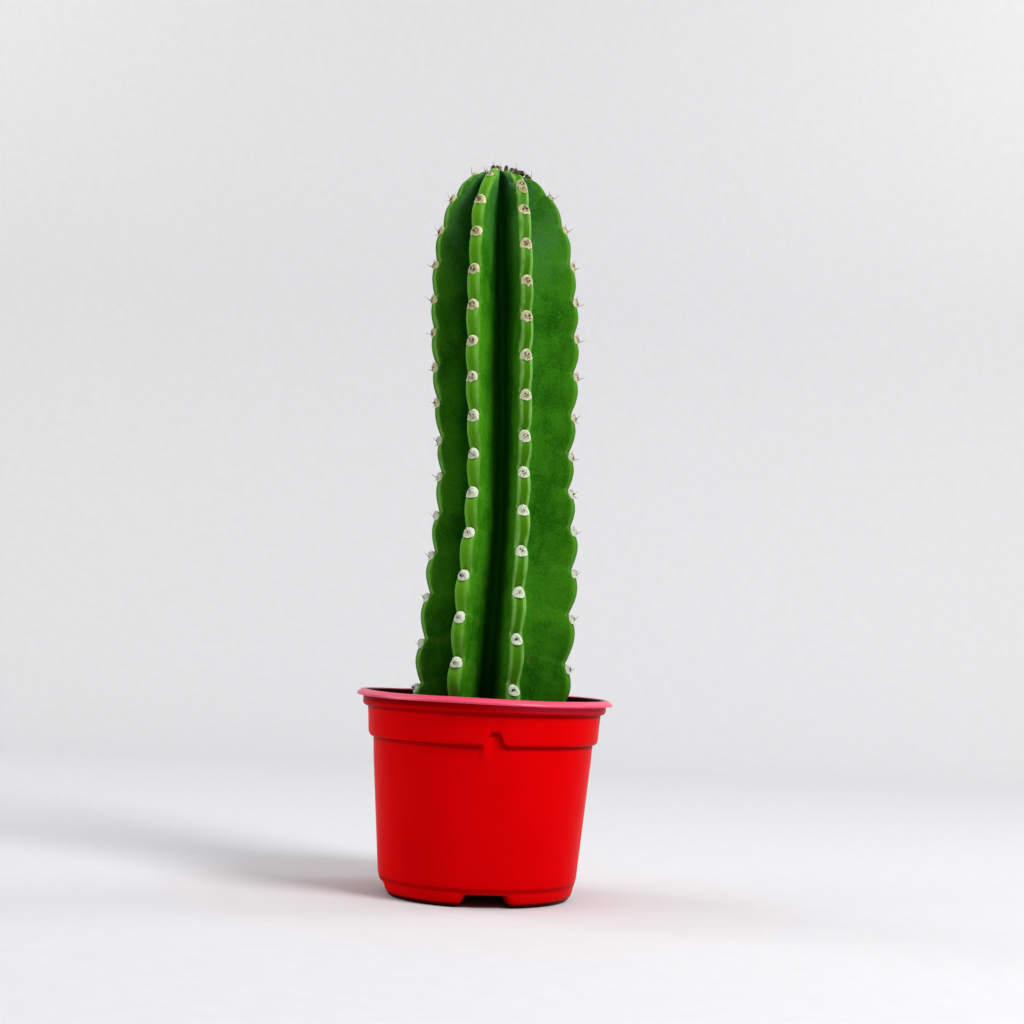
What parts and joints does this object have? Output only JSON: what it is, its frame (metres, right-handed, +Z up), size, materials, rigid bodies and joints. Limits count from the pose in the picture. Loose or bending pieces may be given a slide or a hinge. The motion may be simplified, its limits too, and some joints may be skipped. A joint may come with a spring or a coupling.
{
  "type": "potted columnar cactus",
  "caption": "Upright ribbed columnar cactus with felted areoles and short spines, rooted in potting mix in a thin round plastic nursery pot with a turned-down lip.",
  "frame": {"origin": "centre of the pot's foot, on the surface that it stands on", "axes": "+Z up along the pot's axis and the stem; the side that the picture shows faces -Y"},
  "size_m": [0.13, 0.13, 0.376],
  "materials": {
    "pot_red": "satin",
    "potting_mix": "matte",
    "stem_green": "satin"
  },
  "bodies": {
    "root": {"pot": "pot_red", "soil": "potting_mix", "cactus_stem": "stem_green"}
  },
  "joints": []
}
